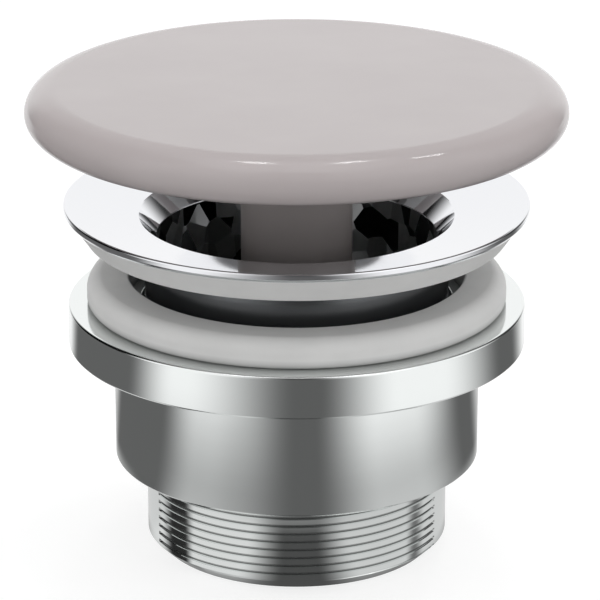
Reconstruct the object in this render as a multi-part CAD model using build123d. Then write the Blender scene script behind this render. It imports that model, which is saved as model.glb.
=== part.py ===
from build123d import *

import os
from math import cos, radians, sin

# Push-open basin waste with a round ceramic cap, drawn with the cap raised.
# Millimetres. +Z points up along the axis, and the origin is the centre of
# the tail's lower end. The lower body screws up the flange's tube and so
# clamps the basin between the rubber ring and the conical seal. Under the
# cap a sprung plunger and a ratchet rotor hold the cap up or down in turn.

# Clearances and small corners
RUNNING = 0.05  # radial, a piece that slides or is screwed in its guide
CLEAR = 0.3  # pieces that pass or meet each other without a fit
PAST = 1.0  # how far a cutting shape reaches past the face that it opens
QUARTER = 90  # degrees of the cap's rounded edges
RUBBER_ROUND = 0.4  # small corners of the rubber pieces

# Flange with its dish, mouth, tube and spider
TUBE_D = 41.96
TUBE_WALL = 1.78
TUBE_LEAD = 0.7
DISH_WIDTH = 10.3  # radial, from the mouth out to the rim
RIM_HEIGHT = 1.2
RIM_ROUND = 0.35
DISH_DROP = 2.0  # from the rim down to the mouth
MOUTH_ROUND = 0.25
THROAT_RUN = 2.5  # radial, from the tube's bore out to the mouth
THROAT_HEIGHT = 2.9
THROAT_WALL = 1.5
SHOULDER_GAP = 0.4  # left under the tube when the clamp is fully closed
SPIDER_LEGS = 4
LEG_WIDTH = 3.2
LEG_STEP = 0.3  # boss above its legs
BOSS_D = 18.4
BOSS_HEIGHT = 4.5
BOSS_RISE = 0.5  # boss above the tube's lower end

# Lower body: threaded tail, cup and collar
TAIL_THREAD_D = 41.91  # G 1 1/4, outside diameter
TAIL_WALL = 3.0
TAIL_LENGTH = 12.9
TAIL_CHAMFER = 1.8  # radial, over TAIL_TIP_HEIGHT
TAIL_TIP_HEIGHT = 1.7
CUP_WALL = 4.27
CUP_HEIGHT = 16.45
CUP_FLOOR = 2.0
COLLAR_STEP = 6.25  # radial, from the cup out to the collar's edge
COLLAR_HEIGHT = 5.95
EDGE_BEVEL = 0.3
BORE_LEAD = 0.6

# Seal between the tube and the lower body
O_RING_SECTION = 1.8
O_RING_DEPTH = 3.4  # centre of the ring, below the collar's top
GROOVE_PLAY = 0.1  # each side of the ring in its groove

# Rubber ring on the collar and conical seal under the flange
GASKET_PLAY = 2.22  # radial, round the tube
GASKET_WIDTH = 5.75
GASKET_HEIGHT = 4.0
GASKET_ROUND = 2.1
BASIN_GAP = 5.63  # room for the basin's wall, between ring and seal
SEAL_INSET = 0.75  # seal's top edge inside the rim
SEAL_TAPER = 2.3  # radial, from its top edge to its lower one
SEAL_HEIGHT = 3.59  # at its outer edge

# Barrel of the mechanism, and what holds it in the boss
BARREL_D = 12.0
BARREL_WALL = 1.1
BARREL_CHAMFER = 0.4
BARREL_BUSH = 3.0  # length of the narrow guide at the barrel's top
BARREL_HEX = 17.0  # across flats
BARREL_HEX_HEIGHT = 3.2
WASHER_D = 17.0
WASHER_THICKNESS = 1.0
LOCKNUT_HEX = 17.0
LOCKNUT_HEIGHT = 3.5
HEX_CHAMFER = 0.6
WIPER_SECTION = 1.1
WIPER_DEPTH = 1.6  # centre of the ring, below the barrel's top
SPRING_PLUG_HEIGHT = 2.5
PLUG_SLOT_WIDTH = 1.2
PLUG_SLOT_DEPTH = 1.0
PLUG_DRAIN_D = 2.4

# Ratchet: guide, plunger, rotor and return spring
PRESS_TRAVEL = 9.5
RELEASE = 1.5  # travel that is left when the rotor clears the guide's slots
GUIDE_WALL = 0.75
GUIDE_CAP = 1.0  # closed ring above the guide's slots
SLOT_PLAY = 0.2  # each side of a key in its slot
KEYS = 4
KEY_WIDTH = 1.7
KEY_PLAY = 0.2  # radial, between a key and the barrel
KEY_FOOT = 0.4  # crown below its keys
CROWN_PLAY = 0.15  # radial, between crown and guide
CROWN_HEIGHT = 3.9
CROWN_STEP = 0.45  # radial, from the crown in to the rod
TOOTH_HEIGHT = 0.9
ROTOR_HEIGHT = 5.0
ROTOR_PIN_D = 2.8
ROTOR_PIN_PLAY = 0.1
ROTOR_PIN_HEIGHT = 2.6
THREAD_STEP = 0.5  # radial, from the rod in to its threaded end
THRUST_WASHER_THICKNESS = 0.5
SPRING_WIRE_D = 0.7
SPRING_PLAY = 0.35  # radial, between spring and guide
SPRING_COILS = 9
SPRING_SPARE = 0.7  # left between the coils at full press

# Cap, its carrier and the sleeve
CAP_D = 74.0
CAP_THICKNESS = 6.5
CAP_WIDEST = 3.0  # height of the widest line above the underside
CAP_UPPER_ROUND = 4.5  # radial, from the widest line in to the flat top
CAP_LOWER_ROUND = 4.0  # radial, from the widest line in to the underside
CLOSED_GAP = 0.35  # cap over rim, and cap seal over dish, at full press
RECESS_D = 45.6
RECESS_DEPTH = 2.4
PAD_THICKNESS = 0.7
PLATE_PLAY = 0.4  # radial, round the carrier in the cap's recess
PLATE_DROP = 0.3  # carrier below the cap's underside
SEAL_RIB_INSET = 1.6  # from the carrier's edge in to the rib's middle
SEAL_RIB_WIDTH = 1.6
SEAL_RIB_HEIGHT = 1.1
CAP_SEAL_INNER = 1.8  # from the rib's middle in to the seal's bore
CAP_SEAL_OUTER = 3.2  # from the rib's middle out to the seal's edge
SLEEVE_PLAY = 0.7  # radial, between barrel and sleeve
SLEEVE_WALL = 0.97
SLEEVE_LAP = 3.0  # sleeve over the barrel's top, cap raised
CAP_NUT_WALL = 2.0  # from the thread out to the nut's flats
CAP_NUT_HEIGHT = 3.0
NUT_GAP = 0.5  # nut over the barrel at full press
INSERT_WALL = 1.6
INSERT_FLANGE = 1.1  # radial step of the insert's head
INSERT_HEAD_HEIGHT = 1.2

# Radii of the flange, from the tube's bore outwards
tube_r = TUBE_D / 2
tube_bore_r = tube_r - TUBE_WALL
mouth_r = tube_bore_r + THROAT_RUN
rim_r = mouth_r + DISH_WIDTH
dish_slope = DISH_DROP / DISH_WIDTH
seal_top_r = rim_r - SEAL_INSET
seal_bottom_r = seal_top_r - SEAL_TAPER

# Radii of the lower body and of its two rings
tail_r = TAIL_THREAD_D / 2
tail_bore_r = tail_r - TAIL_WALL
body_bore_r = tube_r + RUNNING
cup_r = body_bore_r + CUP_WALL
collar_r = cup_r + COLLAR_STEP
o_ring_r = tube_r + CLEAR + O_RING_SECTION / 2
gasket_bore_r = tube_r + GASKET_PLAY
gasket_r = gasket_bore_r + GASKET_WIDTH

# Radii of the mechanism, from the barrel inwards and outwards
barrel_r = BARREL_D / 2
barrel_hole_r = barrel_r + RUNNING
barrel_bore_r = barrel_r - BARREL_WALL
key_r = barrel_bore_r - KEY_PLAY
guide_r = barrel_bore_r - RUNNING
guide_bore_r = guide_r - GUIDE_WALL
spring_r = guide_bore_r - SPRING_PLAY
crown_r = guide_bore_r - CROWN_PLAY
rod_r = crown_r - CROWN_STEP
thread_r = rod_r - THREAD_STEP
thread_hole_r = thread_r + RUNNING
cap_nut_flat_r = thread_r + CAP_NUT_WALL
insert_r = thread_r + INSERT_WALL
insert_head_r = insert_r + INSERT_FLANGE
wiper_r = barrel_r + SLEEVE_PLAY - CLEAR - WIPER_SECTION / 2
sleeve_bore_r = barrel_r + SLEEVE_PLAY
sleeve_r = sleeve_bore_r + SLEEVE_WALL

# Radii of the cap and of what it carries
side_r = CAP_D / 2
top_flat_r = side_r - CAP_UPPER_ROUND
under_flat_r = side_r - CAP_LOWER_ROUND
recess_r = RECESS_D / 2
plate_r = recess_r - PLATE_PLAY
rib_r = plate_r - SEAL_RIB_INSET
rib_inner_r = rib_r - SEAL_RIB_WIDTH / 2
rib_outer_r = rib_r + SEAL_RIB_WIDTH / 2
cap_seal_bore_r = rib_r - CAP_SEAL_INNER
cap_seal_r = rib_r + CAP_SEAL_OUTER

# Levels of the lower body and of what it clamps
cup_bottom = TAIL_LENGTH
shoulder = cup_bottom + CUP_FLOOR
collar_bottom = cup_bottom + CUP_HEIGHT
collar_top = collar_bottom + COLLAR_HEIGHT
o_ring_level = collar_top - O_RING_DEPTH
gasket_top = collar_top + GASKET_HEIGHT
seal_bottom = gasket_top + BASIN_GAP
rim_bottom = seal_bottom + SEAL_HEIGHT
rim_top = rim_bottom + RIM_HEIGHT
mouth = rim_top - DISH_DROP
throat = mouth - THROAT_HEIGHT
clamp_closing = BASIN_GAP - CLOSED_GAP
tube_bottom = shoulder + clamp_closing + SHOULDER_GAP

# Levels of the mechanism, upwards from the boss
boss_bottom = tube_bottom + BOSS_RISE
boss_top = boss_bottom + BOSS_HEIGHT
barrel_hex_bottom = boss_top + WASHER_THICKNESS
barrel_hex_top = barrel_hex_bottom + BARREL_HEX_HEIGHT
sleeve_bottom = barrel_hex_top + CLEAR + PRESS_TRAVEL
barrel_top = sleeve_bottom + SLEEVE_LAP
wiper_level = barrel_top - WIPER_DEPTH
rod_shoulder = barrel_top + PRESS_TRAVEL + NUT_GAP
cap_nut_top = rod_shoulder + CAP_NUT_HEIGHT
hub_bottom = cap_nut_top + CLEAR

# Levels of the mechanism, downwards inside the barrel
bush_bottom = barrel_top - BARREL_BUSH
guide_top = bush_bottom - RUNNING
slot_top = guide_top - GUIDE_CAP
crown_top = guide_top
crown_bottom = crown_top - CROWN_HEIGHT
crown_keys_top = slot_top - CLEAR
key_height = crown_keys_top - crown_bottom - KEY_FOOT
guide_bottom = crown_bottom - PRESS_TRAVEL + RELEASE
rotor_top = crown_bottom - RUNNING
rotor_keys_top = crown_bottom - CLEAR
rotor_bottom = crown_bottom - ROTOR_HEIGHT
rotor_pin_top = crown_bottom + ROTOR_PIN_HEIGHT
spring_top = rotor_bottom - THRUST_WASHER_THICKNESS
spring_length = PRESS_TRAVEL + SPRING_COILS * SPRING_WIRE_D + SPRING_SPARE
spring_bottom = spring_top - spring_length
barrel_bottom = spring_bottom - SPRING_PLUG_HEIGHT

# Levels of the cap
cap_lift = PRESS_TRAVEL + CLOSED_GAP
cap_bottom = rim_top + cap_lift
cap_widest = cap_bottom + CAP_WIDEST
cap_top = cap_bottom + CAP_THICKNESS
recess_top = cap_bottom + RECESS_DEPTH
plate_bottom = cap_bottom - PLATE_DROP
rib_top = plate_bottom + SEAL_RIB_HEIGHT
plate_top = recess_top - PAD_THICKNESS
insert_head_bottom = plate_top - INSERT_HEAD_HEIGHT


def turned(*corners):
    """A solid turned about Z from (radius, height, corner round) points."""
    points = [(corner[0], corner[1]) for corner in corners]
    rounds = [corner[2] if len(corner) > 2 else 0 for corner in corners]
    if any(rounds):
        outline = FilletPolyline(*points, radius=rounds, close=True)
    else:
        outline = Polyline(*points, close=True)
    return revolve(Plane.XZ * make_face(outline), Axis.Z)


def ring(outer_r, inner_r, bottom, top):
    """A plain ring between two heights."""
    return turned((inner_r, bottom), (outer_r, bottom), (outer_r, top), (inner_r, top))


def rod(radius, bottom, top):
    """A plain round rod on the axis between two heights."""
    return Pos(0, 0, bottom) * Cylinder(
        radius, top - bottom, align=(Align.CENTER, Align.CENTER, Align.MIN)
    )


def torus(centre_r, section, height):
    """An O-ring."""
    return Pos(0, 0, height) * Torus(centre_r, section / 2)


def groove(outer_r, inner_r, height, centre):
    """The ring-shaped cut that an O-ring lies in."""
    return ring(outer_r, inner_r, centre - height / 2, centre + height / 2)


def bar(length, width, bottom, top):
    """A square bar from the axis outwards along X."""
    return Pos(0, 0, bottom) * Box(
        length, width, top - bottom, align=(Align.MIN, Align.CENTER, Align.MIN)
    )


def hexagon(flat_r, bottom, top):
    """A hexagonal prism whose corners are turned down at both ends."""
    corner_r = flat_r / cos(radians(30))
    prism = extrude(RegularPolygon(corner_r, 6), top - bottom)
    envelope = turned(
        (0, bottom),
        (corner_r - HEX_CHAMFER, bottom),
        (corner_r, bottom + HEX_CHAMFER / 2),
        (corner_r, top - HEX_CHAMFER / 2),
        (corner_r - HEX_CHAMFER, top),
        (0, top),
    )
    return Pos(0, 0, bottom) * prism & envelope


def around(shape, count, first=0.0):
    """Copies of a shape at equal angles about Z, as a list."""
    return [Rot(0, 0, first + step * 360 / count) * shape for step in range(count)]


def dish_height(radius):
    """Height of the flange's dish at a radius."""
    return mouth + dish_slope * (radius - mouth_r)


def underside_height(radius):
    """Height of the flange's underside at a radius: the dish less the rim."""
    return dish_height(radius) - RIM_HEIGHT


def throat_flare():
    """Outer line of the throat's wall: (tube end, plate end) as (r, z)."""
    length = (THROAT_RUN**2 + THROAT_HEIGHT**2) ** 0.5
    steepness = THROAT_HEIGHT / THROAT_RUN
    start_r = tube_bore_r + THROAT_WALL * THROAT_HEIGHT / length
    start_z = throat - THROAT_WALL * THROAT_RUN / length
    low_z = start_z + (tube_r - start_r) * steepness
    axis_z = low_z - tube_r * steepness
    high_r = (underside_height(0) - axis_z) / (steepness - dish_slope)
    return (tube_r, low_z), (high_r, underside_height(high_r))


def lower_body():
    """Collar, cup and tail, turned as one piece and chromed."""
    body = turned(
        (tail_bore_r, 0),
        (tail_r - TAIL_CHAMFER, 0),
        (tail_r, TAIL_TIP_HEIGHT),
        (tail_r, cup_bottom),
        (cup_r - EDGE_BEVEL, cup_bottom),
        (cup_r, cup_bottom + EDGE_BEVEL),
        (cup_r, collar_bottom),
        (collar_r - EDGE_BEVEL, collar_bottom),
        (collar_r, collar_bottom + EDGE_BEVEL),
        (collar_r, collar_top - EDGE_BEVEL),
        (collar_r - EDGE_BEVEL, collar_top),
        (body_bore_r + BORE_LEAD, collar_top),
        (body_bore_r, collar_top - BORE_LEAD),
        (body_bore_r, shoulder),
        (tail_bore_r, shoulder),
    )
    seat_r = o_ring_r + O_RING_SECTION / 2
    seat_height = O_RING_SECTION + 2 * GROOVE_PLAY
    return body - groove(seat_r, tube_bore_r, seat_height, o_ring_level)


def body_o_ring():
    """O-ring in the lower body's groove, round the flange's tube."""
    return torus(o_ring_r, O_RING_SECTION, o_ring_level)


def lower_gasket():
    """Thick rubber ring that lies on the collar, under the basin."""
    return turned(
        (gasket_bore_r, collar_top),
        (gasket_r, collar_top, RUBBER_ROUND),
        (gasket_r, gasket_top, GASKET_ROUND),
        (gasket_bore_r, gasket_top, RUBBER_ROUND),
    )


def flange_body():
    """Rim, dish, mouth, tube, spider and boss, cast and turned as one."""
    flare_low, flare_high = throat_flare()
    shell = turned(
        (tube_bore_r, tube_bottom),
        (tube_r - TUBE_LEAD, tube_bottom),
        (tube_r, tube_bottom + TUBE_LEAD),
        flare_low,
        flare_high,
        (rim_r - RIM_ROUND, underside_height(rim_r - RIM_ROUND), RIM_ROUND / 2),
        (rim_r, rim_bottom + RIM_ROUND, RIM_ROUND / 2),
        (rim_r, rim_top, RIM_ROUND),
        (mouth_r, mouth, MOUTH_ROUND),
        (tube_bore_r, throat, MOUTH_ROUND),
    )
    in_wall = tube_bore_r + TUBE_WALL / 2
    leg = bar(in_wall, LEG_WIDTH, boss_bottom, boss_top - LEG_STEP)
    legs = around(leg, SPIDER_LEGS, first=180 / SPIDER_LEGS)
    boss = rod(BOSS_D / 2, boss_bottom, boss_top)
    hole = rod(barrel_hole_r, boss_bottom - PAST, boss_top + PAST)
    return shell + (boss + legs) - hole


def upper_seal():
    """Conical rubber seal, fitted to the flange's underside."""
    flare_low, flare_high = throat_flare()
    flare_slope = (flare_high[0] - flare_low[0]) / (flare_high[1] - flare_low[1])
    flare_r = flare_low[0] + max(0, seal_bottom - flare_low[1]) * flare_slope
    return turned(
        (flare_r, seal_bottom),
        (seal_bottom_r, seal_bottom, RUBBER_ROUND),
        (seal_top_r, underside_height(seal_top_r)),
        flare_high,
    )


def mechanism_barrel():
    """Turned tube with a hexagon, chromed, open below and bushed at its top."""
    body = turned(
        (barrel_bore_r, barrel_bottom),
        (barrel_r - BARREL_CHAMFER, barrel_bottom),
        (barrel_r, barrel_bottom + BARREL_CHAMFER),
        (barrel_r, barrel_top - BARREL_CHAMFER),
        (barrel_r - BARREL_CHAMFER, barrel_top),
        (rod_r + RUNNING, barrel_top),
        (rod_r + RUNNING, bush_bottom),
        (barrel_bore_r, bush_bottom),
    )
    collar = hexagon(BARREL_HEX / 2, barrel_hex_bottom, barrel_hex_top)
    bore = rod(barrel_bore_r, barrel_hex_bottom - PAST, barrel_hex_top + PAST)
    seat_r = wiper_r - WIPER_SECTION / 2
    seat_height = WIPER_SECTION + 2 * RUNNING
    return body + (collar - bore) - groove(sleeve_r, seat_r, seat_height, wiper_level)


def barrel_wiper():
    """O-ring at the barrel's top that wipes the sleeve's bore."""
    return torus(wiper_r, WIPER_SECTION, wiper_level)


def barrel_washer():
    """Nylon washer between the barrel's hexagon and the boss."""
    return ring(WASHER_D / 2, barrel_hole_r, boss_top, barrel_hex_bottom)


def barrel_locknut():
    """Hexagon nut on the barrel, under the boss."""
    nut_bottom = boss_bottom - LOCKNUT_HEIGHT
    nut = hexagon(LOCKNUT_HEX / 2, nut_bottom, boss_bottom)
    return nut - rod(barrel_hole_r, nut_bottom - PAST, boss_bottom + PAST)


def spring_plug():
    """Screwed plug in the barrel's lower end, slotted and drained."""
    plug = rod(guide_r, barrel_bottom, spring_bottom)
    half_slot = bar(BARREL_D, PLUG_SLOT_WIDTH, barrel_bottom, barrel_bottom + PLUG_SLOT_DEPTH)
    drain = rod(PLUG_DRAIN_D / 2, barrel_bottom - PAST, spring_bottom + PAST)
    return plug - around(half_slot, 2) - drain


def keys(top):
    """The radial keys of crown or rotor, from the axis out to the barrel."""
    key = bar(barrel_r, KEY_WIDTH, top - key_height, top)
    return around(key & rod(key_r, top - key_height, top), KEYS)


def tooth_gaps(outer_r, level):
    """Sawtooth gaps above an end face, twice as many as there are keys."""
    count = 2 * KEYS
    half_pitch = outer_r * sin(radians(180 / count)) + RUNNING
    gap = Plane.YZ * make_face(
        Polyline(
            (-half_pitch, level),
            (half_pitch, level),
            (half_pitch, level + TOOTH_HEIGHT),
            close=True,
        )
    )
    return around(extrude(gap, outer_r + CLEAR), count)


def plunger():
    """Rod with a toothed crown and a threaded upper end."""
    crown = rod(crown_r, crown_bottom, crown_top)
    shaft = rod(rod_r, crown_top, rod_shoulder)
    stud = rod(thread_r, rod_shoulder, plate_top - CLEAR)
    solid = crown + shaft + stud + keys(crown_keys_top)
    hole_r = ROTOR_PIN_D / 2 + ROTOR_PIN_PLAY
    hole = rod(hole_r, crown_bottom - PAST, rotor_pin_top + CLEAR)
    return solid - tooth_gaps(crown_r, crown_bottom) - hole


def rotor():
    """Ratchet rotor: its teeth fill the crown's gaps, its keys ride the guide."""
    body = rod(crown_r, rotor_bottom, rotor_top)
    pin = rod(ROTOR_PIN_D / 2, rotor_bottom, rotor_pin_top)
    envelope = rod(crown_r, rotor_bottom, crown_top)
    toothed = (body + tooth_gaps(crown_r, rotor_top)) & envelope
    return toothed + pin + keys(rotor_keys_top)


def rotor_washer():
    """Thrust washer that lets the rotor turn on the spring."""
    return ring(crown_r, spring_r - 2 * SPRING_WIRE_D, spring_top, rotor_bottom)


def cam_guide():
    """Slotted guide in the barrel: ramps at its lower end turn the rotor."""
    sleeve = ring(guide_r, guide_bore_r, guide_bottom, guide_top)
    slot = bar(barrel_r, KEY_WIDTH + 2 * SLOT_PLAY, guide_bottom - PAST, slot_top)
    return sleeve - around(slot, KEYS) - tooth_gaps(guide_r, guide_bottom)


def return_spring():
    """Helical compression spring between washer and screwed plug."""
    wire_r = SPRING_WIRE_D / 2
    height = spring_length - SPRING_WIRE_D
    path = Helix(
        pitch=height / (SPRING_COILS - 1),
        height=height,
        radius=spring_r - wire_r,
        center=(0, 0, spring_bottom + wire_r),
    )
    section = Plane(origin=path @ 0, z_dir=path % 0) * Circle(wire_r)
    return sweep(section, path=path, is_frenet=True)


def cap_locknut():
    """Thin nut on the plunger that locks the cap's height."""
    nut = hexagon(cap_nut_flat_r, rod_shoulder, cap_nut_top)
    return nut - rod(thread_hole_r, rod_shoulder - PAST, cap_nut_top + PAST)


def cap_insert():
    """Threaded brass insert, moulded into the carrier's hub."""
    return turned(
        (thread_hole_r, hub_bottom),
        (insert_r, hub_bottom),
        (insert_r, insert_head_bottom),
        (insert_head_r, insert_head_bottom),
        (insert_head_r, plate_top),
        (thread_hole_r, plate_top),
    )


def cap_plate():
    """Moulded carrier in the cap's recess: hub below, groove for the seal."""
    hub_r = sleeve_bore_r - RUNNING
    return turned(
        (insert_r, hub_bottom),
        (hub_r, hub_bottom),
        (hub_r, plate_bottom),
        (rib_inner_r, plate_bottom),
        (rib_inner_r, rib_top),
        (rib_outer_r, rib_top),
        (rib_outer_r, plate_bottom),
        (plate_r, plate_bottom),
        (plate_r, plate_top),
        (insert_head_r, plate_top),
        (insert_head_r, insert_head_bottom),
        (insert_r, insert_head_bottom),
    )


def cap_seal():
    """Rubber ring under the cap: its rib sits in the carrier's groove."""
    return turned(
        (cap_seal_bore_r, plate_bottom),
        (cap_seal_bore_r, dish_height(cap_seal_bore_r) + cap_lift),
        (cap_seal_r, dish_height(cap_seal_r) + cap_lift, RUBBER_ROUND),
        (cap_seal_r, plate_bottom),
        (rib_outer_r, plate_bottom),
        (rib_outer_r, rib_top),
        (rib_inner_r, rib_top),
        (rib_inner_r, plate_bottom),
    )


def stem_sleeve():
    """Sleeve in the cap's colour that hides the mechanism."""
    return ring(sleeve_r, sleeve_bore_r, sleeve_bottom, plate_bottom)


def cap_pad():
    """Soft bed between the carrier and the ceramic."""
    return rod(plate_r, plate_top, recess_top)


def cap():
    """Round glazed cover: flat top, rounded side, recess for the carrier."""
    upper = EllipticalCenterArc(
        (top_flat_r, cap_widest),
        CAP_UPPER_ROUND,
        cap_top - cap_widest,
        start_angle=0,
        arc_size=QUARTER,
    )
    lower = EllipticalCenterArc(
        (under_flat_r, cap_widest),
        CAP_LOWER_ROUND,
        CAP_WIDEST,
        start_angle=-QUARTER,
        arc_size=QUARTER,
    )
    inside = Polyline(
        (top_flat_r, cap_top),
        (0, cap_top),
        (0, recess_top),
        (recess_r, recess_top),
        (recess_r, cap_bottom),
        (under_flat_r, cap_bottom),
    )
    outline = make_face([*upper.edges(), *lower.edges(), *inside.edges()])
    return revolve(Plane.XZ * outline, Axis.Z)


PIECES = [
    lower_body,
    body_o_ring,
    lower_gasket,
    flange_body,
    upper_seal,
    mechanism_barrel,
    barrel_wiper,
    barrel_washer,
    barrel_locknut,
    spring_plug,
    cam_guide,
    plunger,
    rotor,
    rotor_washer,
    return_spring,
    cap_locknut,
    cap_insert,
    cap_plate,
    cap_seal,
    stem_sleeve,
    cap_pad,
    cap,
]

os.makedirs("parts", exist_ok=True)
for piece in PIECES:
    export_step(piece(), f"parts/{piece.__name__}.step")
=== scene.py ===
import logging
import math
from dataclasses import dataclass, field
from enum import Enum, IntEnum

import bmesh
import bpy
from mathutils import Matrix, Vector


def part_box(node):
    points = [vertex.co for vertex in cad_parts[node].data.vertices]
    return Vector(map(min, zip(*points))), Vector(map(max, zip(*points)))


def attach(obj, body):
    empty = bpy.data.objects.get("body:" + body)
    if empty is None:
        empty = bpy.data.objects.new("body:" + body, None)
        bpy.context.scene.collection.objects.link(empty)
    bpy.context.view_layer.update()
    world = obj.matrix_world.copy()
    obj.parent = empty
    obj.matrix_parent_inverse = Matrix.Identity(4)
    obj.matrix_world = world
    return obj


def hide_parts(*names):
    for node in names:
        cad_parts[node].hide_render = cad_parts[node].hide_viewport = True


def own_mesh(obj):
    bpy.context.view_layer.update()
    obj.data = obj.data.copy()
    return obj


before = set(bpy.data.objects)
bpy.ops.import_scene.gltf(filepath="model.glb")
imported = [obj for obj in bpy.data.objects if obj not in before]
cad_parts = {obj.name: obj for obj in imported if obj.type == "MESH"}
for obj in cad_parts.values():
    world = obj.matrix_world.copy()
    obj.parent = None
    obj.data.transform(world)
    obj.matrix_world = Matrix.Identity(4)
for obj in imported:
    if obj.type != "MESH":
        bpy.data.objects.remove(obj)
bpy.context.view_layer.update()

# Push-open basin waste with a raised ceramic cap: finishes, visible pieces,
# studio and camera. Sizes are millimetres and become metres in the meshes.

MM = 0.001
SHARP_ANGLE = math.radians(32)
MERGE_DISTANCE = 1e-5
LEVEL_TOLERANCE = 0.01
RADIUS_TOLERANCE = 0.001
# Large faces alone set how their edges are shaded.
LARGE_FACE_WEIGHT = 100
# A noise keeps near its middle, so this stretch of it fills the whole range.
NOISE_SPAN = {"From_Min": 0.3, "From_Max": 0.7}
# The wave texture turns by this many radians in one unit of its scale.
WAVE_RADIANS = 20.0
# Refraction of plastics and rubbers.
POLYMER_IOR = 1.5

Tree = bpy.types.NodeTree
Node = bpy.types.Node
Socket = bpy.types.NodeSocket
Material = bpy.types.Material
Piece = bpy.types.Object
Mesh = bmesh.types.BMesh
Vert = bmesh.types.BMVert

log = logging.getLogger("basin_waste")


class Body(Enum):
    """The rigid groups that pieces move with."""

    TAIL = "tail_body"
    GASKET = "clamp_gasket"
    FLANGE = "flange"
    PLUG = "plug"


@dataclass(frozen=True)
class Extent:
    """Outer radius and levels of a node, in millimetres."""

    radius: float
    bottom: float
    top: float


@dataclass(frozen=True)
class Corner:
    """One corner of a turned outline: radius, height and rounding, in millimetres."""

    r: float
    z: float
    fillet: float = 0.0


def extent(node: str) -> Extent:
    """Reads how far a node reaches.

    Args:
        node: Name of the node.

    Returns:
        Its outer radius, bottom and top in millimetres.
    """
    low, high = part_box(node)
    return Extent(high.y / MM, low.z / MM, high.z / MM)


def linear(hex_colour: str) -> tuple[float, float, float, float]:
    """Turns an sRGB hex colour into linear light.

    Args:
        hex_colour: Colour as "#RRGGBB".

    Returns:
        Linear red, green, blue and an alpha of 1.
    """
    channels = [int(hex_colour[i : i + 2], 16) / 255 for i in (1, 3, 5)]
    light = [c / 12.92 if c <= 0.04045 else ((c + 0.055) / 1.055) ** 2.4 for c in channels]
    return (*light, 1.0)


def add(tree: Tree, kind: str, inputs: dict | None = None, **settings) -> Node:
    """Adds a node with its settings and links.

    Args:
        tree: Node tree that takes the node.
        kind: Node type, such as ShaderNodeTexNoise.
        inputs: Input name or index to the output socket that feeds it, or to its value.
        **settings: Node properties, or input values by name with spaces as underscores.

    Returns:
        The new node.
    """
    node = tree.nodes.new(kind)
    for name, value in settings.items():
        if hasattr(node, name):
            setattr(node, name, value)
        else:
            node.inputs[name.replace("_", " ")].default_value = value
    for key, source in (inputs or {}).items():
        if isinstance(source, Socket):
            tree.links.new(source, node.inputs[key])
        else:
            node.inputs[key].default_value = source
    return node


def bare_material(name: str) -> Material:
    """Makes a material with an empty node tree.

    Args:
        name: Its name.

    Returns:
        The material.
    """
    made = bpy.data.materials.new(name)
    made.use_nodes = True
    made.node_tree.nodes.clear()
    return made


def blended(tree: Tree, pattern: Socket, shade: str, colour: str) -> Socket:
    """Blends two colours by a pattern.

    Args:
        tree: Node tree.
        pattern: Noise or cell value from 0 to 1.
        shade: Colour where the pattern is low, as "#RRGGBB".
        colour: Colour where it is high.

    Returns:
        The blended colour.
    """
    share = add(tree, "ShaderNodeMapRange", {"Value": pattern}, **NOISE_SPAN).outputs["Result"]
    ends = {"Factor": share, "A": linear(shade), "B": linear(colour)}
    return add(tree, "ShaderNodeMix", ends, data_type="RGBA").outputs["Result"]


def relief(tree: Tree, shader: Node, height: Socket, depth_mm: float) -> None:
    """Gives a surface, and the coat on it, a relief of a real depth.

    Args:
        tree: Node tree.
        shader: Its principled shader.
        height: Height from 0 to 1.
        depth_mm: Depth in millimetres.
    """
    raised = add(tree, "ShaderNodeBump", {"Height": height}, Distance=depth_mm * MM)
    for normal in ("Normal", "Coat Normal"):
        tree.links.new(raised.outputs["Normal"], shader.inputs[normal])


def uneven_gloss(
    tree: Tree, shader: Node, place: Socket, patch_mm: float, roughness: float, share: float
) -> None:
    """Lets the gloss vary from patch to patch.

    Args:
        tree: Node tree.
        shader: Its principled shader.
        place: Coordinates in metres.
        patch_mm: Width of a patch in millimetres.
        roughness: Roughness at the middle of its range.
        share: How far it strays, as a share of itself.
    """
    patches = add(tree, "ShaderNodeTexNoise", {"Vector": place}, Scale=1 / (patch_mm * MM))
    ends = {"To_Min": roughness * (1 - share), "To_Max": roughness * (1 + share)}
    rough = add(tree, "ShaderNodeMapRange", {"Value": patches.outputs["Fac"]}, **NOISE_SPAN, **ends)
    tree.links.new(rough.outputs["Result"], shader.inputs["Roughness"])


@dataclass(frozen=True)
class Finish:
    """Base of every finish: a named principled material with object coordinates."""

    name: str
    colour: str

    def material(self) -> Material:
        """Makes the material at the first call.

        Returns:
            The material, the same one at every call.
        """
        found = bpy.data.materials.get(self.name)
        if found:
            return found
        made = bare_material(self.name)
        tree = made.node_tree
        shader = add(tree, "ShaderNodeBsdfPrincipled", {"Base Color": linear(self.colour)})
        add(tree, "ShaderNodeOutputMaterial", {"Surface": shader.outputs["BSDF"]})
        self.dress(tree, shader, add(tree, "ShaderNodeTexCoord").outputs["Object"])
        made.diffuse_color = linear(self.colour)
        return made

    def dress(self, tree: Tree, shader: Node, place: Socket) -> None:
        """Adds what the finish gives the eye; each finish has its own.

        Args:
            tree: Node tree of the material.
            shader: Its principled shader.
            place: Object coordinates in metres.
        """


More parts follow.
